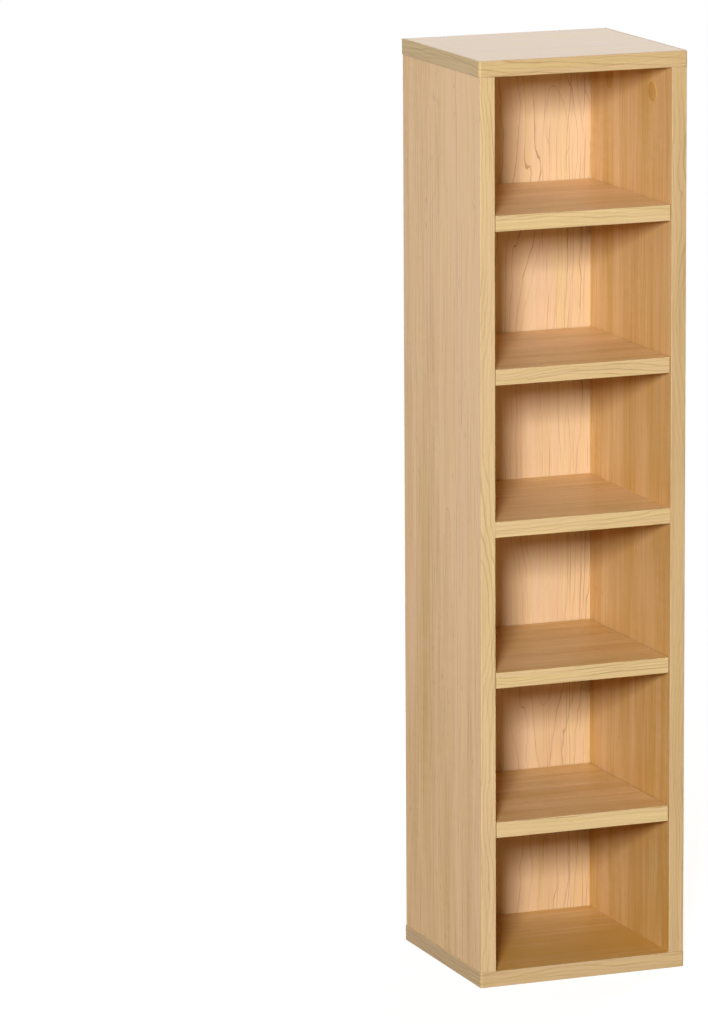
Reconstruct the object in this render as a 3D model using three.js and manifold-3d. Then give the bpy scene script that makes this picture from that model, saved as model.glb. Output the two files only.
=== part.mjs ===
// A narrow open tower with equal compartments for disc cases: a carcass of boards, its shelves,
// and the pins, cam locks, bolts and screws that hold them together.
// Millimetres, +Z up, front towards -Y, origin at the middle of the underside.
import * as THREE from 'three';
import { mergeVertices } from 'three/addons/utils/BufferGeometryUtils.js';
import Module from 'manifold-3d';

const wasm = await Module();
wasm.setup();

// Overall size of the carcass
const towerWidth = 210;
const towerHeight = 880;
const carcassDepth = 192;

// Boards
const boardThickness = 15;
const sideSetIn = 0.8;
const backThickness = 3;
const backSetIn = 2;
const compartmentCount = 6;
const fixedShelfNumber = 3;

// Edge bands: a strip along each front, and one wrapped round three edges of the top and the bottom
const bandThickness = 1;
const wrapThickness = 2;
const wrapCornerRadius = 2.5;

// Clearances of the shelves in the carcass
const shelfSetback = 1;
const shelfEndGap = 1;
const shelfRearGap = 1;

// Clearance between a fitting and what it sits in, and how far a cutter runs out of a board
const fitGap = 0.3;
const cutOverrun = 1;

// Shelf pins: a peg in the wall, a half collar against the wall and a half-round tongue
const pinInset = 37;
const pinRadius = 2.5;
const pinPegLength = 8;
const pinTongueLength = 9;
const pinCollarRadius = 3.5;
const pinCollarThickness = 1;

// Cam locks: a drum with a slot and a pocket for the bolt's head, and a cross recess in its face
const camInset = 45;
const camReach = 28;
const camRadius = 7.2;
const camHoleFloor = 2.5;
const camRoof = 3;
const camPocketRadius = 4.4;
const camSlotWidth = 4.2;
const camRecessLength = 8;
const camRecessWidth = 1.4;
const camRecessDepth = 1.8;

// Cover caps over the cam locks of the side panels
const capRadius = 9.5;
const capThickness = 0.8;
const capBevel = 0.3;

// Cam bolts
const boltThreadRadius = 2.6;
const boltTipRadius = 1.4;
const boltTipLength = 2;
const boltTipCover = 4;
const boltCollarRadius = 3.6;
const boltCollarLength = 2;
const boltShankRadius = 2.5;
const boltNeckRadius = 1.6;
const boltHeadRadius = 3.2;
const boltHeadLength = 3;

// Countersunk screws up through the bottom panel
const screwInset = 40;
const screwLength = 50;
const screwSink = 0.3;
const screwHeadRadius = 4.6;
const screwHeadHeight = 3.2;
const screwShankRadius = 2.3;
const screwTipLength = 4;
const screwRecessLength = 4.6;
const screwRecessWidth = 1.1;
const screwRecessDepth = 1.6;

// How finely round shapes are cut, and how close two corners are to count as one
const drumSegments = 20;
const rodSegments = 12;
const cornerSegments = 5;
const mergeDistance = 1e-4;

// Finishes
const boardFinish = { color: 0xd6b98f, roughness: 0.5, metalness: 0 };
const bandFinish = { color: 0xdcc08f, roughness: 0.45, metalness: 0 };
const backFinish = { color: 0xe0bf92, roughness: 0.55, metalness: 0 };
const steelFinish = { color: 0xb9bcc0, roughness: 0.3, metalness: 0.9 };
const zincFinish = { color: 0xa5a4a0, roughness: 0.45, metalness: 0.8 };
const capFinish = { color: 0xa87b4c, roughness: 0.6, metalness: 0 };

// Planes that several pieces share
const halfWidth = towerWidth / 2;
const frontY = -(carcassDepth + backThickness) / 2;
const rearY = frontY + carcassDepth;
const sideOuterX = halfWidth - sideSetIn;
const sideInnerX = sideOuterX - boardThickness;
const sideMiddleX = (sideOuterX + sideInnerX) / 2;
const ceilingZ = towerHeight - boardThickness;
const shelfPitch = ceilingZ / compartmentCount;

const quarterTurn = Math.PI / 2;
const up = new THREE.Vector3(0, 0, 1);
const down = new THREE.Vector3(0, 0, -1);
const sides = [
  { name: 'left', sign: -1, inward: new THREE.Vector3(1, 0, 0) },
  { name: 'right', sign: 1, inward: new THREE.Vector3(-1, 0, 0) },
];

// A box between two opposite corners
function slab(corner, oppositeCorner) {
  const corners = [corner, oppositeCorner].map((point) => new THREE.Vector3(...point));
  const box = new THREE.Box3().setFromPoints(corners);
  const size = box.getSize(new THREE.Vector3());
  const middle = box.getCenter(new THREE.Vector3());
  return new THREE.BoxGeometry(...size.toArray()).translate(...middle.toArray());
}

function barAlongX(radius, startX, endX) {
  const bar = new THREE.CylinderGeometry(radius, radius, endX - startX, rodSegments);
  return bar.rotateZ(-quarterTurn).translate((startX + endX) / 2, 0, 0);
}

function barAlongZ(radius, startZ, endZ) {
  const bar = new THREE.CylinderGeometry(radius, radius, endZ - startZ, drumSegments);
  return bar.rotateX(quarterTurn).translate(0, 0, (startZ + endZ) / 2);
}

// A body turned about Z from its outline, a list of radii and heights from axis to axis
function turned(outline, segments) {
  const points = outline.map(([radius, height]) => new THREE.Vector2(radius, height));
  return new THREE.LatheGeometry(points, segments).rotateX(quarterTurn);
}

// A cross-shaped cutter of two bars on the axis Z
function crossCutter(length, width, lowZ, highZ) {
  const reach = length / 2;
  const halfBar = width / 2;
  return [
    slab([-reach, -halfBar, lowZ], [reach, halfBar, highZ]),
    slab([-halfBar, -reach, lowZ], [halfBar, reach, highZ]),
  ];
}

function toSolid(geometry) {
  const bare = geometry.clone();
  bare.deleteAttribute('normal');
  bare.deleteAttribute('uv');
  const merged = mergeVertices(bare, mergeDistance);
  const corners = merged.index.array;
  const kept = [];
  for (let i = 0; i < corners.length; i += 3) {
    const [a, b, c] = corners.slice(i, i + 3);
    if (a !== b && b !== c && c !== a) {
      kept.push(a, b, c);
    }
  }
  return new wasm.Manifold(new wasm.Mesh({
    numProp: 3,
    vertProperties: merged.attributes.position.array,
    triVerts: Uint32Array.from(kept),
  }));
}

function toGeometry(solid) {
  const mesh = solid.getMesh();
  const geometry = new THREE.BufferGeometry();
  geometry.setAttribute('position', new THREE.BufferAttribute(mesh.vertProperties, mesh.numProp));
  geometry.setIndex(new THREE.BufferAttribute(mesh.triVerts, 1));
  geometry.computeVertexNormals();
  return geometry;
}

function cut(geometry, cutters) {
  return toGeometry(cutters.reduce((rest, cutter) => rest.subtract(toSolid(cutter)), toSolid(geometry)));
}

function joined(geometry, other) {
  return toGeometry(toSolid(geometry).add(toSolid(other)));
}

function placed(geometry, place) {
  return geometry.clone().applyMatrix4(place);
}

// A fitting's own X runs along its pin or bolt, and its own Z points out of the face it sits in
function fittingPlace(origin, along, out) {
  const across = new THREE.Vector3().crossVectors(out, along);
  return new THREE.Matrix4().makeBasis(along, across, out).setPosition(origin);
}

// A front and a rear fitting on each side, each as far in from the edge as the inset says
function cornerPlaces(inset, placeOn) {
  const depths = [
    { name: 'front', y: frontY + inset },
    { name: 'rear', y: rearY - inset },
  ];
  return sides.flatMap((side) => depths.map((depth) => ({
    side,
    label: `${side.name}_${depth.name}`,
    place: placeOn(side, depth.y),
  })));
}

function shelfUndersideZ(number) {
  return (compartmentCount - number) * shelfPitch;
}

const shelfNumbers = Array.from({ length: compartmentCount - 1 }, (_, i) => i + 1);
const removableNumbers = shelfNumbers.filter((number) => number !== fixedShelfNumber);
const fixedShelfMiddleZ = shelfUndersideZ(fixedShelfNumber) + boardThickness / 2;

const topJoints = cornerPlaces(camInset, (side, y) => (
  fittingPlace(new THREE.Vector3(side.sign * sideMiddleX, y, ceilingZ), down, side.inward)
));
const fixedShelfJoints = cornerPlaces(camInset, (side, y) => (
  fittingPlace(new THREE.Vector3(side.sign * sideInnerX, y, fixedShelfMiddleZ), side.inward, down)
));
const screwJoints = cornerPlaces(screwInset, (side, y) => (
  new THREE.Matrix4().setPosition(side.sign * sideMiddleX, y, 0)
));
const pinSeats = removableNumbers.flatMap((number, i) => {
  const seatZ = shelfUndersideZ(number) - fitGap;
  const seats = cornerPlaces(pinInset, (side, y) => (
    fittingPlace(new THREE.Vector3(side.sign * sideInnerX, y, seatZ), side.inward, up)
  ));
  return seats.map((seat) => ({ ...seat, label: `${i + 1}_${seat.label}` }));
});

// Heights in a cam fitting's own frame, where the middle of the cam's board is zero
const boardFaceZ = boardThickness / 2;
const camHoleBackZ = camHoleFloor - boardFaceZ;
const camBackZ = camHoleBackZ + fitGap;
const camFaceZ = boardFaceZ - fitGap;
const boltThreadLength = boardThickness - boltTipCover;

// Cutters for the holes, each in its fitting's own frame
function boltThreadHole() {
  return barAlongX(boltThreadRadius + fitGap, -boltThreadLength - fitGap, cutOverrun);
}

function boltBore() {
  return barAlongX(boltCollarRadius + fitGap, -cutOverrun, camReach);
}

function camHole() {
  return barAlongZ(camRadius + fitGap, camHoleBackZ, boardFaceZ + cutOverrun).translate(camReach, 0, 0);
}

function pinHole() {
  return barAlongX(pinRadius + fitGap, -pinPegLength - fitGap, cutOverrun);
}

function screwHole() {
  const flare = cutOverrun * (screwHeadRadius - screwShankRadius) / screwHeadHeight;
  return turned([
    [0, screwSink - cutOverrun],
    [screwHeadRadius + fitGap + flare, screwSink - cutOverrun],
    [screwShankRadius + fitGap, screwSink + screwHeadHeight],
    [screwShankRadius + fitGap, screwLength + fitGap],
    [0, screwLength + fitGap],
  ], rodSegments);
}

function cuttersAt(joints, makeCutter) {
  return joints.map(({ place }) => placed(makeCutter(), place));
}

function sidePanel(side) {
  const here = (joint) => joint.side === side;
  const board = slab(
    [side.sign * sideInnerX, frontY + bandThickness, boardThickness],
    [side.sign * sideOuterX, rearY, ceilingZ],
  );
  return cut(board, [
    ...cuttersAt(topJoints.filter(here), boltBore),
    ...cuttersAt(topJoints.filter(here), camHole),
    ...cuttersAt(fixedShelfJoints.filter(here), boltThreadHole),
    ...cuttersAt(pinSeats.filter(here), pinHole),
    ...cuttersAt(screwJoints.filter(here), screwHole),
  ]);
}

function sideEdgeBand(side) {
  return slab(
    [side.sign * sideInnerX, frontY, boardThickness],
    [side.sign * sideOuterX, frontY + bandThickness, ceilingZ],
  );
}

// The top or the bottom panel inside its wrapped edge band
function endPanel(lowZ, cutters) {
  const coreHalfWidth = halfWidth - wrapThickness;
  const board = slab(
    [-coreHalfWidth, frontY + wrapThickness, lowZ],
    [coreHalfWidth, rearY, lowZ + boardThickness],
  );
  return cut(board, cutters);
}

// One strip round the left end, the front and the right end, with rounded corners
function wrappedEdgeBand(lowZ) {
  const arcX = halfWidth - wrapCornerRadius;
  const arcY = frontY + wrapCornerRadius;
  const innerX = halfWidth - wrapThickness;
  const innerY = frontY + wrapThickness;
  const outline = new THREE.Shape();
  outline.moveTo(-halfWidth, rearY);
  outline.absarc(-arcX, arcY, wrapCornerRadius, -Math.PI, -quarterTurn, false);
  outline.absarc(arcX, arcY, wrapCornerRadius, -quarterTurn, 0, false);
  outline.lineTo(halfWidth, rearY);
  outline.lineTo(innerX, rearY);
  outline.lineTo(innerX, innerY);
  outline.lineTo(-innerX, innerY);
  outline.lineTo(-innerX, rearY);
  outline.closePath();
  const strip = new THREE.ExtrudeGeometry(outline, {
    depth: boardThickness,
    bevelEnabled: false,
    curveSegments: cornerSegments,
  });
  return strip.translate(0, 0, lowZ);
}

function backBoard() {
  return slab(
    [backSetIn - halfWidth, rearY, backSetIn],
    [halfWidth - backSetIn, rearY + backThickness, towerHeight - backSetIn],
  );
}

// A shelf's board, and the strip along its front
const shelfFrontY = frontY + shelfSetback;
const shelfCoreFrontY = shelfFrontY + bandThickness;

function shelfBoard(number, endGap, rearGap) {
  const lowZ = shelfUndersideZ(number);
  const halfLength = sideInnerX - endGap;
  return slab([-halfLength, shelfCoreFrontY, lowZ], [halfLength, rearY - rearGap, lowZ + boardThickness]);
}

function shelfEdgeBand(number, endGap) {
  const lowZ = shelfUndersideZ(number);
  const halfLength = sideInnerX - endGap;
  return slab([-halfLength, shelfFrontY, lowZ], [halfLength, shelfCoreFrontY, lowZ + boardThickness]);
}

function fixedShelfBoard() {
  return cut(shelfBoard(fixedShelfNumber, 0, 0), [
    ...cuttersAt(fixedShelfJoints, boltBore),
    ...cuttersAt(fixedShelfJoints, camHole),
  ]);
}

// The drum of a cam lock, open at its back, with a slot that lets the bolt's neck in
function camLock() {
  const pocketCeilingZ = camFaceZ - camRoof;
  const drum = barAlongZ(camRadius, camBackZ, camFaceZ);
  const pocket = barAlongZ(camPocketRadius, camBackZ - cutOverrun, pocketCeilingZ);
  const slot = slab(
    [-camRadius - cutOverrun, -camSlotWidth / 2, camBackZ - cutOverrun],
    [0, camSlotWidth / 2, pocketCeilingZ],
  );
  const recess = crossCutter(camRecessLength, camRecessWidth, camFaceZ - camRecessDepth, camFaceZ + cutOverrun);
  return cut(drum, [pocket, slot, ...recess]).translate(camReach, 0, 0);
}

function camBolt() {
  const headStart = camReach - boltHeadLength / 2;
  const neckStart = camReach - camRadius - fitGap;
  const collarEnd = fitGap + boltCollarLength;
  return turned([
    [0, -boltThreadLength],
    [boltTipRadius, -boltThreadLength],
    [boltThreadRadius, boltTipLength - boltThreadLength],
    [boltThreadRadius, fitGap],
    [boltCollarRadius, fitGap],
    [boltCollarRadius, collarEnd],
    [boltShankRadius, collarEnd],
    [boltShankRadius, neckStart],
    [boltNeckRadius, neckStart],
    [boltNeckRadius, headStart],
    [boltHeadRadius, headStart],
    [boltHeadRadius, headStart + boltHeadLength],
    [0, headStart + boltHeadLength],
  ], rodSegments).rotateY(quarterTurn);
}

function coverCap() {
  const rimZ = boardFaceZ + capThickness - capBevel;
  return turned([
    [0, boardFaceZ],
    [capRadius, boardFaceZ],
    [capRadius, rimZ],
    [capRadius - capBevel, boardFaceZ + capThickness],
    [0, boardFaceZ + capThickness],
  ], drumSegments).translate(camReach, 0, 0);
}

function shelfPin() {
  const rod = barAlongX(pinRadius, -pinPegLength, pinTongueLength);
  const collar = barAlongX(pinCollarRadius, fitGap, fitGap + pinCollarThickness);
  const flat = slab(
    [0, -pinCollarRadius - cutOverrun, 0],
    [pinTongueLength + cutOverrun, pinCollarRadius + cutOverrun, pinCollarRadius + cutOverrun],
  );
  return cut(joined(rod, collar), [flat]);
}

function baseScrew() {
  const screw = turned([
    [0, screwSink],
    [screwHeadRadius, screwSink],
    [screwShankRadius, screwSink + screwHeadHeight],
    [screwShankRadius, screwLength - screwTipLength],
    [0, screwLength],
  ], rodSegments);
  const recessTopZ = screwSink + screwRecessDepth;
  return cut(screw, crossCutter(screwRecessLength, screwRecessWidth, screwSink - cutOverrun, recessTopZ));
}

const tower = new THREE.Group();
const carcass = new THREE.Group();
tower.add(carcass);

function addPiece(group, name, geometry, finish, place = new THREE.Matrix4()) {
  const piece = new THREE.Mesh(geometry, new THREE.MeshStandardMaterial(finish));
  piece.name = name;
  piece.applyMatrix4(place);
  group.add(piece);
}

function addFittings(joints, name, makeGeometry, finish) {
  for (const { label, place } of joints) {
    addPiece(carcass, `${name}_${label}`, makeGeometry(), finish, place);
  }
}

for (const side of sides) {
  addPiece(carcass, `side_panel_${side.name}`, sidePanel(side), boardFinish);
  addPiece(carcass, `side_panel_${side.name}_edge_band`, sideEdgeBand(side), bandFinish);
}
addPiece(carcass, 'top_panel', endPanel(ceilingZ, cuttersAt(topJoints, boltThreadHole)), boardFinish);
addPiece(carcass, 'top_panel_edge_band', wrappedEdgeBand(ceilingZ), bandFinish);
addPiece(carcass, 'bottom_panel', endPanel(0, cuttersAt(screwJoints, screwHole)), boardFinish);
addPiece(carcass, 'bottom_panel_edge_band', wrappedEdgeBand(0), bandFinish);
addPiece(carcass, 'back_board', backBoard(), backFinish);
addPiece(carcass, 'fixed_shelf', fixedShelfBoard(), boardFinish);
addPiece(carcass, 'fixed_shelf_edge_band', shelfEdgeBand(fixedShelfNumber, 0), bandFinish);

addFittings(topJoints, 'top_cam_lock', camLock, zincFinish);
addFittings(topJoints, 'top_cam_bolt', camBolt, steelFinish);
addFittings(topJoints, 'cam_cover_cap', coverCap, capFinish);
addFittings(fixedShelfJoints, 'shelf_cam_lock', camLock, zincFinish);
addFittings(fixedShelfJoints, 'shelf_cam_bolt', camBolt, steelFinish);
addFittings(screwJoints, 'base_screw', baseScrew, steelFinish);
addFittings(pinSeats, 'shelf_pin', shelfPin, steelFinish);

removableNumbers.forEach((number, i) => {
  const shelf = new THREE.Group();
  const name = `removable_shelf_${i + 1}`;
  addPiece(shelf, name, shelfBoard(number, shelfEndGap, shelfRearGap), boardFinish);
  addPiece(shelf, `${name}_edge_band`, shelfEdgeBand(number, shelfEndGap), bandFinish);
  tower.add(shelf);
});

export default tower;
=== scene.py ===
from math import atan2, cos, pi, radians, sin, tau

import bmesh
import bpy
from bpy.props import FloatProperty, FloatVectorProperty, IntProperty, PointerProperty
from mathutils import Matrix, Vector


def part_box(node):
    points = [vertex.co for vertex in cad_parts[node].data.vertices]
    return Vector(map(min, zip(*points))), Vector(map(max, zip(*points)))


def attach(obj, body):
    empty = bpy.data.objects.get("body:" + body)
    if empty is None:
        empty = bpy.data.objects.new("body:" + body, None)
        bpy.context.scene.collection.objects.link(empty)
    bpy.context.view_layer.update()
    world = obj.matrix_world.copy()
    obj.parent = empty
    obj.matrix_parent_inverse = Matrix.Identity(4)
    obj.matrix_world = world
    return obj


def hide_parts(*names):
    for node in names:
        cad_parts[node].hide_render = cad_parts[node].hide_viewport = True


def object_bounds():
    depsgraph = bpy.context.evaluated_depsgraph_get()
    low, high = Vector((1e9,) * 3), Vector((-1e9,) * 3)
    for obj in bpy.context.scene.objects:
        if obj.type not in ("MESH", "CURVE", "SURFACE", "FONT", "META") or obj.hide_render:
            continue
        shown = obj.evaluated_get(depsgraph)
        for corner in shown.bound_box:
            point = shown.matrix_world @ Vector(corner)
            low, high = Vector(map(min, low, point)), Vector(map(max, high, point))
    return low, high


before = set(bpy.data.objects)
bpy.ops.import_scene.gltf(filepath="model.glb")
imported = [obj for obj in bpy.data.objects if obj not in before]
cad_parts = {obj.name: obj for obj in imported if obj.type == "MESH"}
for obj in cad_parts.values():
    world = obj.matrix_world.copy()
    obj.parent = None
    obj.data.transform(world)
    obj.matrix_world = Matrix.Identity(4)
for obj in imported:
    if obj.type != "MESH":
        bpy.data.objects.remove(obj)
cad_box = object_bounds()

bl_info = {
    "name": "Disc Storage Tower",
    "version": (1, 0, 0),
    "blender": (4, 5, 0),
    "location": "View3D > Sidebar > Tower",
    "description": "Builds the boards, bands and fittings of a narrow open storage tower",
    "category": "Object",
}

SIDES = {"left": -1, "right": 1}
DEPTHS = ("front", "rear")
CORNERS = tuple(f"{side}_{depth}" for side in SIDES for depth in DEPTHS)
LOOSE_SHELVES = (1, 2, 3, 4)
# Painted shade on a print changes over half the tower's height and half a shelf's depth
HALF_HEIGHT, HALF_DEPTH = 0.44, 0.095
# The first print of each kind of board or band; the next board of a kind is a step further
PRINTS = {"side": 11, "side_band": 211, "end": 311, "end_band": 411, "back": 511,
          "shelf": 611, "shelf_band": 911}
PRINT_STEP = 40
HOLE_STEPS = 28


# ---------------------------------------------------------------- what a user may change

def length(name, description, default):
    return FloatProperty(name=name, description=description, default=default, min=0.0,
                         precision=5, unit="LENGTH", subtype="DISTANCE")


def colour(name, description, default):
    return FloatVectorProperty(name=name, description=description, default=default, size=3,
                               min=0.0, max=1.0, subtype="COLOR")


def share(name, description, default):
    return FloatProperty(name=name, description=description, default=default, min=0.0,
                         max=1.0, subtype="FACTOR")


def watts(name, description, default):
    return FloatProperty(name=name, description=description, default=default, min=0.0,
                         unit="POWER")


def position(name, description, default):
    return FloatVectorProperty(name=name, description=description, default=default, size=3,
                               unit="LENGTH", subtype="TRANSLATION")


class BoardShape(bpy.types.PropertyGroup):
    arris: length("Board arris", "Rounding of a board's sharp corners", 0.00018)
    band_round: length("Band rounding", "Rounding of an edge band's outer corners", 0.0006)
    wrap_corner: length("Wrap corner", "Radius at which the wrapped band turns a corner", 0.0025)
    wrap_thickness: length("Wrap thickness", "Thickness of the wrapped band", 0.002)
    nail_gap: length("Nail gap", "Distance between the nails of the back board", 0.09)
    nail_head: length("Nail head", "Radius of a nail's head", 0.0017)
    nail_length: length("Nail length", "Length of a nail", 0.018)


class FittingShape(bpy.types.PropertyGroup):
    ease: length("Fitting ease", "Rounding of a fitting's sharp corners", 0.00012)
    pin_radius: length("Pin radius", "Radius of a shelf pin's peg", 0.0025)
    pin_peg: length("Pin peg", "Length of a shelf pin inside the wall", 0.008)
    pin_collar: length("Pin collar", "Radius of a shelf pin's collar", 0.0035)
    bore_radius: length("Bore radius", "Radius of the bore for a cam bolt's shank", 0.0038)
    socket_depth: length("Socket depth", "Depth of the socket for a cam bolt's thread", 0.0113)
    screw_depth: length("Screw depth", "Depth of the hole for a base screw", 0.0503)
    hole_past: length("Hole past", "How far a drill starts outside the face", 0.001)
    cam_radius: length("Cam radius", "Radius of a cam lock's drum", 0.0072)
    cam_reach: length("Cam reach", "Distance from a joint to the middle of its cam lock", 0.028)
    cam_floor: length("Cam floor", "Board left under the hole of a cam lock", 0.0025)
    bolt_radius: length("Bolt radius", "Radius over a cam bolt's thread", 0.0026)
    screw_head: length("Screw head", "Radius of a countersunk head", 0.0046)
    screw_shank: length("Screw shank", "Radius over a base screw's thread", 0.0023)
    thread_pitch: length("Thread pitch", "Rise of a screw thread in one turn", 0.0024)
    thread_depth: length("Thread depth", "Depth of a screw thread", 0.0006)
    fit_gap: length("Fit gap", "Play between a fitting and its hole", 0.0002)
    round_steps: IntProperty(name="Round steps", description="Sides of a turned fitting",
                             default=36, min=12, max=96)


class MapleFinish(bpy.types.PropertyGroup):
    facing_pale: colour("Facing, pale", "Paler maple of the boards' faces", (0.91, 0.645, 0.385))
    # The top panel's palest maple is a painted sheen: paler than the sides for the white its face
    # reflects
    top_pale_for_sheen: colour("Top, pale", "Palest maple of the top panel", (0.86, 0.63, 0.41))
    facing_deep: colour("Facing, deep", "Deeper maple of the boards' faces", (0.60, 0.345, 0.08))
    facing_line: colour("Facing line", "Growth lines of the boards' faces", (0.42, 0.215, 0.085))
    band_pale: colour("Band, pale", "Paler maple of the edge bands", (0.755, 0.58, 0.335))
    band_deep: colour("Band, deep", "Deeper maple of the edge bands", (0.51, 0.355, 0.18))
    band_line: colour("Band line", "Growth lines of the edge bands", (0.30, 0.18, 0.06))
    back_pale: colour("Back, pale", "Paler maple of the back board", (0.79, 0.62, 0.415))
    back_deep: colour("Back, deep", "Deeper maple of the back board", (0.65, 0.445, 0.25))
    back_line: colour("Back line", "Growth lines of the back board", (0.24, 0.095, 0.03))
    gloss: share("Gloss roughness", "Roughness of the printed faces", 0.36)
    top_gloss: share("Top roughness", "Roughness of the top panel's rubbed face", 0.2)


class HiddenFinish(bpy.types.PropertyGroup):
    core: colour("Core", "Chipboard inside the boards", (0.40, 0.27, 0.15))
    hardboard: colour("Hardboard", "Bare rear of the back board", (0.34, 0.21, 0.115))
    steel: colour("Steel", "Plated steel of pins, bolts, screws and nails", (0.56, 0.56, 0.57))
    zinc: colour("Zinc", "Cast zinc of the cam locks", (0.44, 0.44, 0.43))


class StudioSetup(bpy.types.PropertyGroup):
    key_power: watts("Key power", "Power of the softbox in front", 331.0)
    key_place: position("Key place", "Middle of the softbox in front", (-2.525, -4.81, 2.118))
    key_width: length("Key width", "Width of the softbox in front", 0.65)
    key_height: length("Key height", "Height of the softbox in front", 0.9)
    rear_power: watts("Rear power", "Power of the softbox behind", 130.0)
    rear_place: position("Rear place", "Middle of the softbox behind", (3.4, 2.6, 1.35))
    rear_width: length("Rear width", "Width of the softbox behind", 1.2)
    rear_height: length("Rear height", "Height of the softbox behind", 1.4)
    overhead_power: watts("Overhead power", "Power of the softbox overhead", 9.0)
    overhead_place: position("Overhead place", "Middle of the softbox overhead", (0.3, 0.9, 3.1))
    overhead_width: length("Overhead width", "Width of the softbox overhead", 1.0)
    overhead_height: length("Overhead height", "Length of the softbox overhead", 1.0)
    fill: FloatProperty(name="Fill", description="Light from all round the tower", default=0.2,
                        min=0.0)
    fill_tint: colour("Fill tint", "Colour of the light from all round", (1.0, 0.76, 0.32))
    floor_bounce: colour("Floor bounce", "Colour of the light off the floor", (0.30, 0.24, 0.15))
    floor_tint: colour("Floor tint", "Floor under the tower, lit and shadowed by the lamps",
                       (0.35, 0.35, 0.37))
    floor_glow: share("Floor glow", "White of that floor which no shadow takes away", 0.81)
    lens: FloatProperty(name="Lens", description="Focal length of the camera, in millimetres",
                        default=223.43, min=1.0)
    camera_place: position("Camera place", "Where the camera stands",
                           (-2.30594, -5.4654, 1.60907))
    camera_turn: FloatVectorProperty(name="Camera turn",
                                     description="Yaw, downward pitch and roll of the camera",
                                     default=(radians(21.138), radians(11.21), radians(0.338)),
                                     size=3, unit="ROTATION")


class TowerSettings(bpy.types.PropertyGroup):
    board: PointerProperty(type=BoardShape)
    fitting: PointerProperty(type=FittingShape)
    maple: PointerProperty(type=MapleFinish)
    hidden: PointerProperty(type=HiddenFinish)
    studio: PointerProperty(type=StudioSetup)


# ---------------------------------------------------------------- node recipes

class Recipe:
    """Puts nodes in a tree. A value may be a plain number, a vector or another node's socket."""

    def __init__(self, tree):
        self.tree = tree

    def node(self, kind, sockets=None, **settings):
        made = self.tree.nodes.new(kind)
        for name, value in settings.items():
            setattr(made, name, value)
        for name, value in (sockets or {}).items():
            self.feed(made.inputs[name], value)
        return made

    def feed(self, socket, value):
        if isinstance(value, bpy.types.NodeSocket):
            self.tree.links.new(value, socket)
        else:
            socket.default_value = value

    def math(self, operation, *values, clamp=False):
        made = self.node("ShaderNodeMath", dict(enumerate(values)), operation=operation)
        made.use_clamp = clamp
        return made.outputs[0]

    def plus(self, a, b):
        return self.math("ADD", a, b)

    def minus(self, a, b):
        return self.math("SUBTRACT", a, b)

    def times(self, a, b):
        return self.math("MULTIPLY", a, b)

    def over(self, a, b):
        return self.math("DIVIDE", a, b)

    def weighed(self, *shares):
        """The sum of some values, each times its weight."""
        total = 0.0
        for weight, value in shares:
            total = self.math("MULTIPLY_ADD", value, weight, total)
        return total

    def vector(self, x, y, z=0.0):
        return self.node("ShaderNodeCombineXYZ", {0: x, 1: y, 2: z}).outputs[0]

    def parts(self, vector):
        return self.node("ShaderNodeSeparateXYZ", {0: vector}).outputs

    def stretched(self, vector, *factors):
        return self.node("ShaderNodeVectorMath", {0: vector, 1: factors},
                         operation="MULTIPLY").outputs[0]

    def noise(self, where, detail=2.0, roughness=0.5, distortion=0.0):
        made = self.node("ShaderNodeTexNoise", {
            "Vector": where, "Scale": 1.0, "Detail": detail,
            "Roughness": roughness, "Distortion": distortion,
        })
        return made.outputs["Fac"]

    def remap(self, value, low, high, to_low=0.0, to_high=1.0):
        made = self.node("ShaderNodeMapRange", {
            "Value": value, "From Min": low, "From Max": high, "To Min": to_low, "To Max": to_high,
        }, interpolation_type="SMOOTHSTEP")
        return made.outputs["Result"]

    def mix(self, share_of_b, a, b, blend="MIX"):
        made = self.node("ShaderNodeMix", data_type="RGBA", blend_type=blend)
        made.clamp_factor = True
        self.feed(made.inputs[0], share_of_b)
        self.feed(made.inputs[6], rgba(a))
        self.feed(made.inputs[7], rgba(b))
        return made.outputs[2]

    def bump(self, height, distance, strength):
        made = self.node("ShaderNodeBump", {
            "Height": height, "Distance": distance, "Strength": strength,
        })
        return made.outputs["Normal"]


def rgba(value):
    if isinstance(value, bpy.types.NodeSocket):
        return value
    return (*value, 1.0)


def toned(tint, factor):
    return tuple(min(1.0, part * factor) for part in tint)


def painted(name):
    """Turns a recipe for a surface into a finish that is made once and kept under its name."""
    def keep(paint):
        def finish():
            kept = bpy.data.materials.get(name)
            if not kept:
                kept = bpy.data.materials.new(name)
                kept.use_nodes = True
                paint(Recipe(kept.node_tree), kept.node_tree.nodes["Principled BSDF"])
            return kept
        return finish
    return keep


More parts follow.
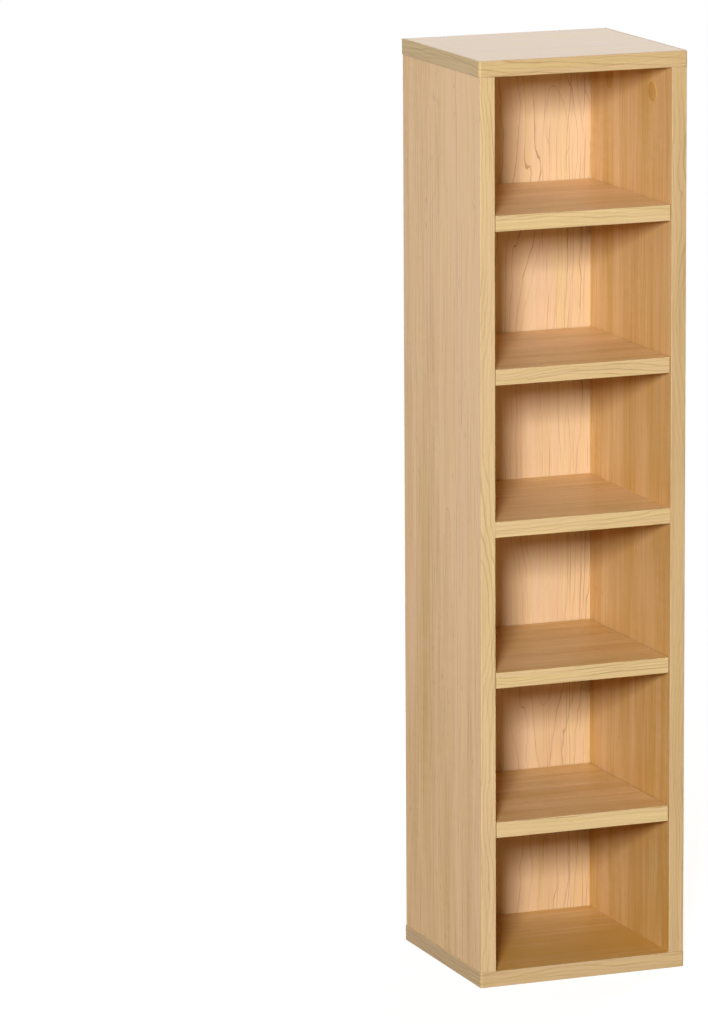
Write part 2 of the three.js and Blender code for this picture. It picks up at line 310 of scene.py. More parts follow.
def maple_figure():
    """The figure of a maple print, from a vector of across, along and print number."""
    tree = bpy.data.node_groups.get("maple_figure")
    if tree:
        return tree
    tree = bpy.data.node_groups.new("maple_figure", "ShaderNodeTree")
    tree.interface.new_socket("Grain", in_out="INPUT", socket_type="NodeSocketVector")
    for way, names in (
        ("INPUT", ("Line Gap", "Wander", "Line Width", "Heart Depth")),
        ("OUTPUT", ("Lines", "Hairlines", "Streaks", "Tone", "Warmth", "Specks", "Flame")),
    ):
        for name in names:
            tree.interface.new_socket(name, in_out=way, socket_type="NodeSocketFloat")
    r = Recipe(tree)
    given = r.node("NodeGroupInput").outputs
    grain = r.parts(given["Grain"])
    across = r.times(grain[0], 1000.0)
    along = r.times(grain[1], 1000.0)
    print_number = grain[2]
    chance = r.node("ShaderNodeTexWhiteNoise", {"W": print_number}, noise_dimensions="1D")
    chance = r.parts(chance.outputs["Color"])

    def field(width, run, layer, detail=1.5):
        where = r.vector(r.over(across, width), r.over(along, run),
                         r.math("MULTIPLY_ADD", print_number, 7.31, layer))
        return r.noise(where, detail)

    def swing(value, reach):
        return r.times(r.minus(value, 0.5), 2.0 * reach)

    # The plane of the board cuts the tree's rings, which lean and wander
    wander = r.plus(swing(field(75, 240, 1.7), 26.0), swing(field(15, 52, 4.1), 4.5))
    wander = r.plus(wander, swing(field(4.2, 14, 9.3), 0.7))
    offset = r.math("MULTIPLY_ADD", wander, given["Wander"], across)
    offset = r.minus(offset, swing(chance[0], 70.0))
    lean = swing(chance[1], 0.11)
    depth = r.math("MULTIPLY_ADD", along, lean, r.math("MULTIPLY_ADD", chance[2], 30.0, 4.0))
    depth = r.plus(depth, swing(field(400, 300, 14.9), 34.0))
    depth = r.times(depth, given["Heart Depth"])
    radius = r.math("SQRT", r.plus(r.times(offset, offset), r.times(depth, depth)))
    rings = r.over(radius, given["Line Gap"])
    ring = r.math("FLOOR", rings)
    growth = r.math("FRACT", rings)
    slope = r.over(offset, radius)
    slope = r.math("SQRT", r.math("MULTIPLY_ADD", slope, slope, 0.03))
    to_late = r.over(r.times(r.minus(1.0, growth), given["Line Gap"]), slope)
    late = r.remap(r.over(to_late, given["Line Width"]), 1.0, 0.15)
    late = r.weighed((0.88, late), (0.12, r.math("POWER", growth, 3.0)))
    rarity = r.node("ShaderNodeTexWhiteNoise", {"Vector": r.vector(ring, print_number, 0.37)},
                    noise_dimensions="2D").outputs["Value"]
    strong = r.remap(rarity, 0.15, 0.9, 0.15, 1.0)
    fading = r.remap(field(30, 110, 21.3), 0.28, 0.58, 0.3, 1.0)
    lines = r.times(r.times(late, strong), fading)

    # Thin pores in lines that run with the grain and sway a little
    sway = r.plus(swing(field(60, 130, 24.1), 9.0), swing(field(11, 34, 26.3), 0.9))
    lanes = r.times(r.plus(across, sway), 0.34)
    lane = r.math("FLOOR", lanes)
    luck = r.node("ShaderNodeTexWhiteNoise", {"Vector": r.vector(lane, print_number, 0.71)},
                  noise_dimensions="2D")
    luck = r.parts(luck.outputs["Color"])
    middle = r.math("MULTIPLY_ADD", luck[0], 0.6, 0.2)
    off_middle = r.math("ABSOLUTE", r.minus(r.math("FRACT", lanes), middle))
    reach = r.noise(r.vector(r.times(lane, 3.7), r.over(along, 95), print_number), 1.0)
    hairlines = r.times(r.remap(luck[1], 0.4, 0.95), r.remap(reach, 0.42, 0.6))
    hairlines = r.times(r.remap(off_middle, 0.17, 0.05), hairlines)

    streaks = r.weighed((0.38, field(0.75, 60, 31.0)), (0.28, field(2.3, 170, 37.0)),
                        (0.22, field(6.5, 210, 97.0)), (0.12, field(0.4, 9, 43.0, 0.5)))
    tone = r.weighed((0.6, field(25, 290, 51.0)), (0.4, field(95, 1500, 57.0)))
    warmth = r.weighed((0.6, field(6, 260, 81.0)), (0.4, field(38, 900, 87.0)))
    specks = r.times(r.remap(field(1.4, 11, 63.0, 0.5), 0.70, 0.79),
                     r.remap(field(34, 70, 67.0), 0.53, 0.63))
    flame = r.times(swing(field(17, 7.5, 71.0, 1.0), 0.5),
                    r.remap(field(60, 140, 77.0), 0.42, 0.62))
    r.node("NodeGroupOutput", {
        "Lines": lines, "Hairlines": hairlines, "Streaks": streaks, "Tone": tone,
        "Warmth": warmth, "Specks": specks, "Flame": flame,
    })
    return tree


def maple_print(r, surface, pale, deep, line, gloss, line_gap, line_share, hair_share,
                line_width=1.0, wander=1.0, heart_depth=1.0, streak_share=1.4, tone_share=1.2,
                hue_share=1.0, speck_share=0.6, flame_share=0.25, specular=0.35):
    """A maple look printed on paper or foil, with a satin face."""
    figure = r.node("ShaderNodeGroup", {
        "Grain": r.node("ShaderNodeAttribute", attribute_name="grain").outputs["Vector"],
        "Line Gap": line_gap, "Line Width": line_width, "Wander": wander,
        "Heart Depth": heart_depth,
    }, node_tree=maple_figure()).outputs
    depth = r.math("MULTIPLY_ADD", r.minus(figure["Streaks"], 0.5), streak_share, 0.5)
    depth = r.math("MULTIPLY_ADD", r.minus(figure["Tone"], 0.5), tone_share, depth)
    depth = r.math("MULTIPLY_ADD", figure["Flame"], flame_share, depth)
    # The shade attribute holds each board's own tone together with painted shade and a painted
    # edge highlight
    shade = r.node("ShaderNodeAttribute", attribute_name="shade").outputs["Fac"]
    depth = r.math("ADD", depth, shade, clamp=True)
    hue = r.mix(r.remap(figure["Warmth"], 0.36, 0.64), (0.99, 1.0, 0.90), (1.0, 0.96, 1.0))
    body = r.mix(hue_share, r.mix(depth, pale, deep), hue, "MULTIPLY")
    body = r.mix(r.times(figure["Lines"], line_share), body, line)
    body = r.mix(r.times(figure["Hairlines"], hair_share), body, line)
    body = r.mix(r.times(figure["Specks"], speck_share), body, line)
    r.feed(surface.inputs["Base Color"], body)
    worn = r.remap(figure["Streaks"], 0.3, 0.7, gloss - 0.04, gloss + 0.05)
    r.feed(surface.inputs["Roughness"], worn)
    surface.inputs["IOR"].default_value = 1.55
    surface.inputs["Specular IOR Level"].default_value = specular
    relief = r.math("MULTIPLY_ADD", figure["Lines"], -0.6, figure["Streaks"])
    r.feed(surface.inputs["Normal"], r.bump(relief, 0.00004, 0.5))


@painted("maple_facing")
def facing(r, surface):
    look = bpy.context.scene.tower.maple
    maple_print(r, surface, look.facing_pale, look.facing_deep, look.facing_line, look.gloss,
                line_gap=7.0, line_share=0.4, hair_share=0.8, line_width=1.1, streak_share=1.7,
                tone_share=1.5, hue_share=0.85)


# The top panel's print is paler than the other boards: a painted sheen
@painted("maple_top_facing")
def top_facing(r, surface):
    look = bpy.context.scene.tower.maple
    maple_print(r, surface, look.top_pale_for_sheen, look.facing_pale, look.facing_line, look.top_gloss,
                line_gap=8.0, line_share=0.2, hair_share=0.12, streak_share=1.5, tone_share=1.6,
                speck_share=0.2, flame_share=0.1, specular=0.37)


@painted("maple_edge_band")
def band_facing(r, surface):
    look = bpy.context.scene.tower.maple
    maple_print(r, surface, look.band_pale, look.band_deep, look.band_line, look.gloss + 0.03,
                line_gap=3.8, line_share=0.66, hair_share=0.7, wander=0.9, heart_depth=0.12,
                streak_share=1.5, tone_share=0.8, speck_share=0.2, flame_share=0.1)


@painted("maple_back_board")
def back_facing(r, surface):
    look = bpy.context.scene.tower.maple
    maple_print(r, surface, look.back_pale, look.back_deep, look.back_line, look.gloss + 0.08,
                line_gap=7.0, line_share=0.7, hair_share=0.6, line_width=0.8, wander=1.25,
                tone_share=1.0, speck_share=0.15, flame_share=0.1, specular=0.12)


@painted("band_body")
def band_body(r, surface):
    """The plain plastic that shows where an edge band is trimmed."""
    look = bpy.context.scene.tower.maple
    place = r.node("ShaderNodeTexCoord").outputs["Object"]
    cloud = r.noise(r.stretched(place, 900.0, 900.0, 900.0), 3.0)
    scratch = r.noise(r.stretched(place, 260.0, 260.0, 3000.0), 2.0)
    body = r.mix(r.remap(cloud, 0.3, 0.7), look.band_pale, look.band_deep)
    r.feed(surface.inputs["Base Color"], body)
    r.feed(surface.inputs["Roughness"], r.remap(scratch, 0.3, 0.7, 0.42, 0.58))
    r.feed(surface.inputs["Normal"], r.bump(scratch, 0.00003, 0.6))


@painted("chipboard_core")
def chipboard(r, surface):
    """The bare core of a board: pressed chips of mixed size and shade."""
    core = bpy.context.scene.tower.hidden.core
    place = r.node("ShaderNodeAttribute", attribute_name="grain").outputs["Vector"]
    flat = r.stretched(place, 1000.0, 330.0, 1.0)
    chips = r.node("ShaderNodeTexVoronoi", {"Vector": flat, "Scale": 0.9, "Randomness": 1.0})
    shade = r.parts(chips.outputs["Color"])[0]
    fibre = r.noise(flat, 4.0, 0.6)
    dark = toned(core, 0.45)
    body = r.mix(shade, core, toned(core, 1.45))
    body = r.mix(r.remap(fibre, 0.55, 0.75), body, dark)
    gaps = r.remap(chips.outputs["Distance"], 0.45, 0.9)
    body = r.mix(r.times(gaps, 0.6), body, dark)
    r.feed(surface.inputs["Base Color"], body)
    surface.inputs["Roughness"].default_value = 0.9
    r.feed(surface.inputs["Normal"], r.bump(r.minus(fibre, gaps), 0.0004, 0.8))


@painted("bare_hardboard")
def bare_hardboard(r, surface):
    """The unprinted rear of the back board: brown pressed fibre with a screen texture."""
    brown = bpy.context.scene.tower.hidden.hardboard
    place = r.node("ShaderNodeTexCoord").outputs["Object"]
    fine = r.stretched(place, 1000.0, 1000.0, 1000.0)
    fibre = r.noise(fine, 5.0, 0.65, 1.2)
    cloud = r.noise(r.stretched(place, 22.0, 22.0, 22.0), 3.0)
    body = r.mix(r.remap(fibre, 0.3, 0.7), toned(brown, 0.62), toned(brown, 1.4))
    body = r.mix(r.remap(cloud, 0.35, 0.7, 0.0, 0.35), body, brown)
    weave = r.parts(r.stretched(place, 4400.0, 4400.0, 4400.0))
    screen = r.times(r.math("SINE", weave[0]), r.math("SINE", weave[2]))
    r.feed(surface.inputs["Base Color"], body)
    r.feed(surface.inputs["Roughness"], r.remap(fibre, 0.3, 0.7, 0.62, 0.8))
    relief = r.math("MULTIPLY_ADD", screen, 0.5, fibre)
    r.feed(surface.inputs["Normal"], r.bump(relief, 0.00015, 0.6))


def metal(r, surface, tint, roughness, marks_per_metre, spots):
    """Plated or cast metal: fine marks, cloudy tone and duller spots."""
    place = r.node("ShaderNodeTexCoord").outputs["Object"]
    marks = r.noise(r.stretched(place, *3 * [marks_per_metre]), 4.0, 0.6)
    cloud = r.noise(r.stretched(place, 420.0, 420.0, 420.0), 3.0)
    body = r.mix(r.remap(cloud, 0.38, 0.68, 0.0, spots), tint, toned(tint, 0.72))
    body = r.mix(r.remap(marks, 0.5, 0.8, 0.0, 0.4), body, toned(tint, 0.5))
    r.feed(surface.inputs["Base Color"], body)
    surface.inputs["Metallic"].default_value = 1.0
    worn = r.remap(marks, 0.3, 0.7, roughness - 0.06, roughness + 0.12)
    r.feed(surface.inputs["Roughness"], worn)
    r.feed(surface.inputs["Normal"], r.bump(marks, 0.00003, 0.5))


@painted("plated_steel")
def steel(r, surface):
    metal(r, surface, bpy.context.scene.tower.hidden.steel, 0.27, 2600.0, 0.5)


@painted("cast_zinc")
def zinc(r, surface):
    metal(r, surface, bpy.context.scene.tower.hidden.zinc, 0.43, 1400.0, 0.8)


# ---------------------------------------------------------------- making shapes

def block(low, high):
    shape = bmesh.new()
    bmesh.ops.create_cube(shape, size=1.0)
    size, middle = high - low, (high + low) / 2
    for vert in shape.verts:
        vert.co = Vector(a * b for a, b in zip(vert.co, size)) + middle
    return shape


def round_edges(shape, edges, radius, steps=2):
    bmesh.ops.bevel(shape, geom=edges, offset=radius, segments=steps, profile=0.5,
                    affect="EDGES", clamp_overlap=True)


def sharp_edges(shape, angle=radians(35)):
    return [edge for edge in shape.edges if len(edge.link_faces) == 2
            and edge.calc_face_angle(0.0) > angle]


def turned(outline, steps, swell=None):
    """A closed body turned about Z, from a list of radii and heights that starts and ends on
    the axis. The swell, if any, adds to the radius at a height and an angle."""
    shape = bmesh.new()
    rings = []
    for radius, height in outline:
        if radius == 0.0:
            rings.append([shape.verts.new((0.0, 0.0, height))])
            continue
        ring = []
        for i in range(steps):
            angle = tau * i / steps
            reach = radius + (swell(height, angle) if swell else 0.0)
            ring.append(shape.verts.new((reach * cos(angle), reach * sin(angle), height)))
        rings.append(ring)
    for lower, upper in zip(rings, rings[1:]):
        for i in range(steps):
            j = (i + 1) % steps
            corners = [lower[i % len(lower)], lower[j % len(lower)],
                       upper[j % len(upper)], upper[i % len(upper)]]
            shape.faces.new(list(dict.fromkeys(corners)))
    bmesh.ops.recalc_face_normals(shape, faces=shape.faces)
    return shape


def thread(start, end, pitch, depth):
    """The swell of a screw thread that fades in and out over one turn."""
    def swell(height, angle):
        turn = (height / pitch - angle / tau) % 1.0
        crest = max(0.0, 1.0 - abs(turn - 0.5) / 0.3)
        fade = min(1.0, (height - start) / pitch, (end - height) / pitch)
        return depth * crest * max(0.0, fade)
    return swell


def rod(radius, start, end, steps):
    return turned([(0.0, start), (radius, start), (radius, end), (0.0, end)], steps)


def cross_recess(reach, half_width, top, bottom):
    """A cutter for a cross recess, drawn in towards its bottom."""
    shape = bmesh.new()
    rings = []
    for height, share_left in ((top, 1.12), (bottom, 0.6)):
        far, near = reach * share_left, half_width * share_left
        outline = []
        for x, y in ((1, 0), (0, 1), (-1, 0), (0, -1)):
            for side in (-1, 1):
                outline.append((far * x - side * near * y, far * y + side * near * x))
            outline.append((near * (x - y), near * (y + x)))
        rings.append([shape.verts.new((x, y, height)) for x, y in outline])
    count = len(rings[0])
    for i in range(count):
        j = (i + 1) % count
        shape.faces.new((rings[0][i], rings[0][j], rings[1][j], rings[1][i]))
    for ring in rings:
        shape.faces.new(ring)
    bmesh.ops.recalc_face_normals(shape, faces=shape.faces)
    return shape


def lying(shape):
    """The shape with its Z turned to X."""
    return moved(shape, Matrix.Rotation(pi / 2, 4, "Y"))


def to_mesh(shape, name):
    mesh = bpy.data.meshes.new(name)
    shape.to_mesh(mesh)
    shape.free()
    return mesh


def from_mesh(mesh):
    shape = bmesh.new()
    shape.from_mesh(mesh)
    return shape


def gathered(shapes, name):
    """One mesh that holds several shapes, which don't touch each other."""
    whole = bmesh.new()
    for shape in shapes:
        part = to_mesh(shape, "part")
        whole.from_mesh(part)
        bpy.data.meshes.remove(part)
    return to_mesh(whole, name)


def moved(shape, place):
    bmesh.ops.transform(shape, matrix=place, verts=shape.verts)
    return shape


def cut(mesh, *groups, wall_finish=1):
    """The mesh less its cutters, one group after another; no two cutters of a group may touch."""
    for cutters in groups:
        for cutter in cutters:
            for face in cutter.faces:
                face.material_index = wall_finish
        tool = bpy.data.objects.new("cutters", gathered(cutters, "cutters"))
        work = bpy.data.objects.new("work", mesh)
        for each in (tool, work):
            # Without a place for each finish the cut would drop the finish numbers
            for finish in (None, None):
                each.data.materials.append(finish)
            bpy.context.scene.collection.objects.link(each)
        difference = work.modifiers.new("holes", "BOOLEAN")
        difference.operation = "DIFFERENCE"
        difference.solver = "EXACT"
        difference.object = tool
        ready = work.evaluated_get(bpy.context.evaluated_depsgraph_get())
        result = bpy.data.meshes.new_from_object(ready)
        kept = [face.material_index for face in result.polygons]
        result.materials.clear()
        result.polygons.foreach_set("material_index", kept)
        for each in (tool, work):
            data = each.data
            bpy.data.objects.remove(each)
            bpy.data.meshes.remove(data)
        mesh = result
    return mesh


def eased(mesh, radius):
    """The mesh with its sharp corners rounded a little."""
    shape = from_mesh(mesh)
    bmesh.ops.remove_doubles(shape, verts=shape.verts, dist=2e-6)
    bmesh.ops.dissolve_limit(shape, angle_limit=radians(0.5), verts=shape.verts,
                             edges=shape.edges)
    round_edges(shape, sharp_edges(shape), radius, 2)
    shape.to_mesh(mesh)
    shape.free()
    return mesh


def lay_grain(mesh, rule, shade, wear_and_highlight=0.15):
    """Stores where each corner lies on its print: across the grain, along it, and the print's
    number. The shade says how much deeper than the finish's middle tone the print is there:
    the board's own tone together with painted shade. The wear_and_highlight says how much paler
    the rounded edges are: rubbed wear and a painted edge highlight."""
    places, shades = [], []
    for face in mesh.polygons:
        # Rounded edges are painted paler: rubbed wear and a painted edge highlight
        rubbed = wear_and_highlight if max(abs(part) for part in face.normal) < 0.97 else 0.0
        for loop in face.loop_indices:
            corner = mesh.vertices[mesh.loops[loop].vertex_index].co
            places.extend(rule(face.normal, corner))
            shades.append(shade(face.normal, corner) - rubbed)
    layer = mesh.attributes.new("grain", "FLOAT_VECTOR", "CORNER")
    layer.data.foreach_set("vector", places)
    layer = mesh.attributes.new("shade", "FLOAT", "CORNER")
    layer.data.foreach_set("value", shades)


def straight_grain(along_axis, first_print):
    """Grain that runs along one axis, with a print of its own on each side of the board."""
    def rule(normal, corner):
        facing_axis = max(range(3), key=lambda axis: abs(normal[axis]))
        rest = [axis for axis in range(3) if axis != facing_axis]
        along = along_axis if along_axis in rest else rest[1]
        across = rest[0] if along == rest[1] else rest[1]
        side = 2 * facing_axis + (normal[facing_axis] > 0)
        return corner[across], corner[along], first_print + side
    return rule


def add_piece(name, mesh, body, stands_for, finishes, place=None):
    """Puts a finished mesh in the scene on its body, in the place of its CAD nodes."""
    for finish in finishes:
        mesh.materials.append(finish)
    mesh.polygons.foreach_set("use_smooth", [True] * len(mesh.polygons))
    mesh.set_sharp_from_angle(angle=radians(50))
    piece = bpy.data.objects.new(name, mesh)
    bpy.context.scene.collection.objects.link(piece)
    if place is not None:
        piece.matrix_world = place
    weighted = piece.modifiers.new("even_shading", "WEIGHTED_NORMAL")
    weighted.keep_sharp = True
    weighted.weight = 90
    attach(piece, body)
    if stands_for:
        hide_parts(*stands_for)


def even_shade(value):
    return lambda normal, corner: value


def shelf_painted_shade(value):
    """The shade of a shelf: painted light makes it a little paler towards its front."""
    return lambda normal, corner: value + 0.12 * corner.y / HALF_DEPTH


def wrap_painted_shade(front, end):
    """The shade of a wrapped band, turning from its front to its ends, which are painted paler as
    painted light.
    """
    return lambda normal, corner: front + (end - front) * abs(normal.x)


def back_painted_shade(normal, corner):
    """The shade of the back board: painted shade that deepens downwards."""
    return 0.14 + 0.18 * (HALF_HEIGHT - corner.z) / HALF_HEIGHT


def side_painted_shade(side, outer, inner):
    """The shade of a side panel: painted shade that deepens downwards, and on its outer print
    rearwards too; the inner value is painted shade inside the tower.
    """
    def shade(normal, corner):
        # Painted shade: the print deepens downwards
        lower = 0.12 * (HALF_HEIGHT - corner.z) / HALF_HEIGHT
        if normal.x * SIDES[side] <= 0.5:
            return inner + lower
        # Painted shade: the outer print deepens rearwards
        return outer + lower + 0.11 * corner.y / HALF_DEPTH
    return shade


def printed_block(node, has_print):
    """A block in the place of its CAD node, and the test says which of its sides have a print."""
    shape = block(*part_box(node))
    for face in shape.faces:
        face.material_index = 0 if has_print(face.normal) else 1
    return shape


def add_board(name, node, body, broad_axis, grain_axis, print_number, shade, look, *cutters):
    """A board with crisp arrises: its two broad sides are faced and its edges are bare."""
    shape = printed_block(node, lambda normal: abs(normal[broad_axis]) > 0.5)
    round_edges(shape, shape.edges[:], bpy.context.scene.tower.board.arris, 1)
    mesh = cut(to_mesh(shape, name), *cutters)
    lay_grain(mesh, straight_grain(grain_axis, print_number), shade)
    add_piece(name, mesh, body, [node], [look, chipboard()])


def add_band(name, node, body, grain_axis, print_number, shade):
    """A strip of edge band: printed on its front, plain where it is trimmed."""
    shape = printed_block(node, lambda normal: normal.y < -0.5)
    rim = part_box(node)[0].y + 1e-6
    front = [edge for edge in shape.edges if all(vert.co.y < rim for vert in edge.verts)]
    round_edges(shape, front, bpy.context.scene.tower.board.band_round, 3)
    mesh = to_mesh(shape, name)
    lay_grain(mesh, straight_grain(grain_axis, print_number), even_shade(shade))
    add_piece(name, mesh, body, [node], [band_facing(), band_body()])


# ---------------------------------------------------------------- where the fittings sit

def set_out(origin, along, out):
    """A fitting's own X runs along its pin or bolt, and its own Z points out of its face."""
    place = Matrix((along, out.cross(along), out)).transposed().to_4x4()
    place.translation = origin
    return place


def inward(corner):
    return Vector((1, 0, 0)) if corner.startswith("left") else Vector((-1, 0, 0))


def wall_face(corner):
    """How far across the inner face of the wall beside a corner is."""
    side = corner.split("_")[0]
    low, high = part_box(f"side_panel_{side}")
    return high.x if side == "left" else low.x


def middle_of(node):
    low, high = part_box(node)
    return (low + high) / 2


def top_joint(corner):
    """Where a cam bolt of the top panel crosses into the wall."""
    middle = middle_of(f"top_cam_bolt_{corner}")
    middle.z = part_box("top_panel")[0].z
    return set_out(middle, Vector((0, 0, -1)), inward(corner))


def shelf_joint(corner):
    """Where a cam bolt of the fixed shelf leaves the wall."""
    middle = middle_of(f"shelf_cam_bolt_{corner}")
    middle.x = wall_face(corner)
    return set_out(middle, inward(corner), Vector((0, 0, -1)))


def pin_seat(shelf, corner):
    """Where a shelf pin leaves the wall, with its flat upwards."""
    node = f"shelf_pin_{shelf}_{corner}"
    middle = middle_of(node)
    middle.x = wall_face(corner)
    middle.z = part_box(node)[0].z + bpy.context.scene.tower.fitting.pin_collar
    return set_out(middle, inward(corner), Vector((0, 0, 1)))


def screw_seat(corner):
    middle = middle_of(f"base_screw_{corner}")
    middle.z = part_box("bottom_panel")[0].z
    return Matrix.Translation(middle)


def holes(places, make):
    return [moved(make(), place) for place in places]


def board_half():
    low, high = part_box("fixed_shelf")
    return (high.z - low.z) / 2


def cam_hole():
    """A cutter for a cam lock's blind hole."""
    size = bpy.context.scene.tower.fitting
    hole = rod(size.cam_radius + size.fit_gap, size.cam_floor - board_half(),
               board_half() + size.hole_past, 40)
    return moved(hole, Matrix.Translation((size.cam_reach, 0.0, 0.0)))


def bolt_bore():
    size = bpy.context.scene.tower.fitting
    return lying(rod(size.bore_radius, -size.hole_past, size.cam_reach, HOLE_STEPS))


def bolt_socket():
    size = bpy.context.scene.tower.fitting
    return lying(rod(size.bolt_radius + size.fit_gap, -size.socket_depth, size.hole_past,
                     HOLE_STEPS))


def pin_hole():
    size = bpy.context.scene.tower.fitting
    return lying(rod(size.pin_radius + size.fit_gap, -size.pin_peg - 0.0003, size.hole_past,
                     HOLE_STEPS))


def screw_hole():
    """A cutter for a countersunk screw's hole; its flare runs on past the face."""
    size = bpy.context.scene.tower.fitting
    head, shank = size.screw_head + size.fit_gap, size.screw_shank + size.fit_gap
    flare = head + (head - shank) / 3.2
    return turned([(0.0, -0.0007), (flare, -0.0007), (shank, 0.0035), (shank, size.screw_depth),
                   (0.0, size.screw_depth)], HOLE_STEPS)


# ---------------------------------------------------------------- boards and bands

class TOWER_OT_side_panels(bpy.types.Operator):
    """Builds the two side panels and the bands along their fronts"""
    bl_idname = "tower.side_panels"
    bl_label = "Side Panels"

    def execute(self, context):
        # The right band is printed deeper than the left: painted shade where the light falls off
        # to the right
        for number, (side, band_painted_shade) in enumerate((("left", -0.14), ("right", 0.12))):
            node = f"side_panel_{side}"
            corners = [corner for corner in CORNERS if corner.startswith(side)]
            tops = [top_joint(corner) for corner in corners]
            pins = [pin_seat(shelf, corner) for shelf in LOOSE_SHELVES for corner in corners]
            # The inner print is set deeper than the outer: painted shade inside the tower
            add_board(f"{side}_side_board", node, "carcass", 0, 2,
                      PRINTS["side"] + PRINT_STEP * number, side_painted_shade(side, -0.36, 0.2),
                      facing(),
                      holes(tops, cam_hole) + holes(pins, pin_hole)
                      + holes([shelf_joint(corner) for corner in corners], bolt_socket)
                      + holes([screw_seat(corner) for corner in corners], screw_hole),
                      holes(tops, bolt_bore))
            add_band(f"{side}_side_band", f"{node}_edge_band", "carcass", 2,
                     PRINTS["side_band"] + PRINT_STEP * number, band_painted_shade)
        return {"FINISHED"}


def wrap_mesh(name, node):
    """One band round the left end, the front and the right end of a panel."""
    size = bpy.context.scene.tower.board
    low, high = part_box(node)
    reach, turn, thick = high.x, size.wrap_corner, size.wrap_thickness
    arc_x, arc_y = reach - turn, low.y + turn
    inner_x, inner_y = reach - thick, low.y + thick
    corner_steps, rim_steps, rim = 8, 2, size.band_round / 2
    stations = [((-reach, high.y), (-inner_x, high.y))]
    for side, start in ((-1, pi), (1, 1.5 * pi)):
        for i in range(corner_steps + 1):
            angle = start + pi / 2 * i / corner_steps
            outer = (side * arc_x + turn * cos(angle), arc_y + turn * sin(angle))
            stations.append((outer, (side * inner_x, inner_y)))
    stations.append(((reach, high.y), (inner_x, high.y)))
    easing = [(rim * (1 - cos(pi / 2 * k / rim_steps)), rim * (1 - sin(pi / 2 * k / rim_steps)))
              for k in range(rim_steps + 1)]
    shape = bmesh.new()
    rings = []
    for outer, inner in stations:
        outer, inner = Vector(outer), Vector(inner)
        depthwise = (inner - outer).normalized()
        section = [(outer + depthwise * inset, low.z + rise) for inset, rise in easing]
        section += [(inner, low.z), (inner, high.z)]
        section += [(outer + depthwise * inset, high.z - rise) for inset, rise in reversed(easing)]
        rings.append([shape.verts.new((*point, z)) for point, z in section])
    plain_sides = range(rim_steps, rim_steps + 3)
    for ring, following in zip(rings, rings[1:]):
        for i, vert in enumerate(ring):
            j = (i + 1) % len(ring)
            face = shape.faces.new((vert, following[i], following[j], ring[j]))
            face.material_index = 1 if i in plain_sides else 0
    for ring in (rings[0], rings[-1]):
        shape.faces.new(ring).material_index = 1
    bmesh.ops.remove_doubles(shape, verts=shape.verts, dist=1e-7)
    bmesh.ops.recalc_face_normals(shape, faces=shape.faces)
    return to_mesh(shape, name)


def grain_round_corners(node, print_number):
    """Grain that follows the wrapped band round its corners."""
    turn = bpy.context.scene.tower.board.wrap_corner
    low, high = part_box(node)
    arc_x, arc_y = high.x - turn, low.y + turn

    def rule(normal, corner):
        side = 1 if corner.x > 0 else -1
        if abs(corner.x) <= arc_x:
            run = corner.x
        elif corner.y >= arc_y:
            run = side * (arc_x + turn * pi / 2 + corner.y - arc_y)
        else:
            run = side * (arc_x + turn * atan2(abs(corner.x) - arc_x, arc_y - corner.y))
        return corner.z, run, print_number
    return rule


class TOWER_OT_end_panels(bpy.types.Operator):
    """Builds the top and bottom panels and the bands wrapped round them"""
    bl_idname = "tower.end_panels"
    bl_label = "Top and Bottom Panels"

    def execute(self, context):
        # The top board is painted paler, a painted sheen; the bottom board deeper, painted shade
        # low in the tower; the wrapped bands' ends paler than their fronts, as painted light
        ends = (("top", -0.4, top_facing(), (0.12, -0.05), top_joint, bolt_socket),
                ("bottom", 0.44, facing(), (0.18, -0.04), screw_seat, screw_hole))
        for number, (end, shade, look, wrap_painted_shades, seat, hole) in enumerate(ends):
            node, band_node = f"{end}_panel", f"{end}_panel_edge_band"
            add_board(f"{end}_board", node, "carcass", 2, 0, PRINTS["end"] + PRINT_STEP * number,
                      even_shade(shade), look, holes([seat(corner) for corner in CORNERS], hole))
            wrap = wrap_mesh(f"{end}_wrapped_band", band_node)
            grain = grain_round_corners(band_node, PRINTS["end_band"] + PRINT_STEP * number)
            lay_grain(wrap, grain, wrap_painted_shade(*wrap_painted_shades), wear_and_highlight=0.0)
            add_piece(f"{end}_wrapped_band", wrap, "carcass", [band_node],
                      [band_facing(), band_body()])
        return {"FINISHED"}


class TOWER_OT_back_board(bpy.types.Operator):
    """Builds the back board and the nails that hold it"""
    bl_idname = "tower.back_board"
    bl_label = "Back Board"

    def execute(self, context):
        shape = printed_block("back_board", lambda normal: normal.y < -0.5)
        round_edges(shape, shape.edges[:], context.scene.tower.board.arris, 1)
        places = nail_places()
        mesh = cut(to_mesh(shape, "back_panel"), holes(places, nail_hole))
        lay_grain(mesh, straight_grain(2, PRINTS["back"]), back_painted_shade)
        add_piece("back_panel", mesh, "carcass", ["back_board"],
                  [back_facing(), bare_hardboard()])
        nails = gathered([moved(nail(), place) for place in places], "back_nails")
        add_piece("back_nails", nails, "carcass", [], [steel()])
        return {"FINISHED"}


def nail_places():
    """Nails round the back board, into the middle of the boards that it lies on, and across
    the fixed shelf."""
    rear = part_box("back_board")[1].y
    column = abs(middle_of("side_panel_left").x)
    bottom, middle, top = (middle_of(node).z for node in
                           ("bottom_panel", "fixed_shelf", "top_panel"))
    count = round((top - bottom) / bpy.context.scene.tower.board.nail_gap)
    spots = [(side * column, bottom + (top - bottom) * i / count)
             for side in SIDES.values() for i in range(count + 1)]
    spots += [(x, z) for z in (top, bottom) for x in (-column / 3, column / 3)]
    spots += [(x, middle) for x in (-column / 2, 0.0, column / 2)]
    outwards = Matrix.Rotation(-pi / 2, 4, "X")
    return [Matrix.Translation((x, rear, z)) @ outwards for x, z in spots]


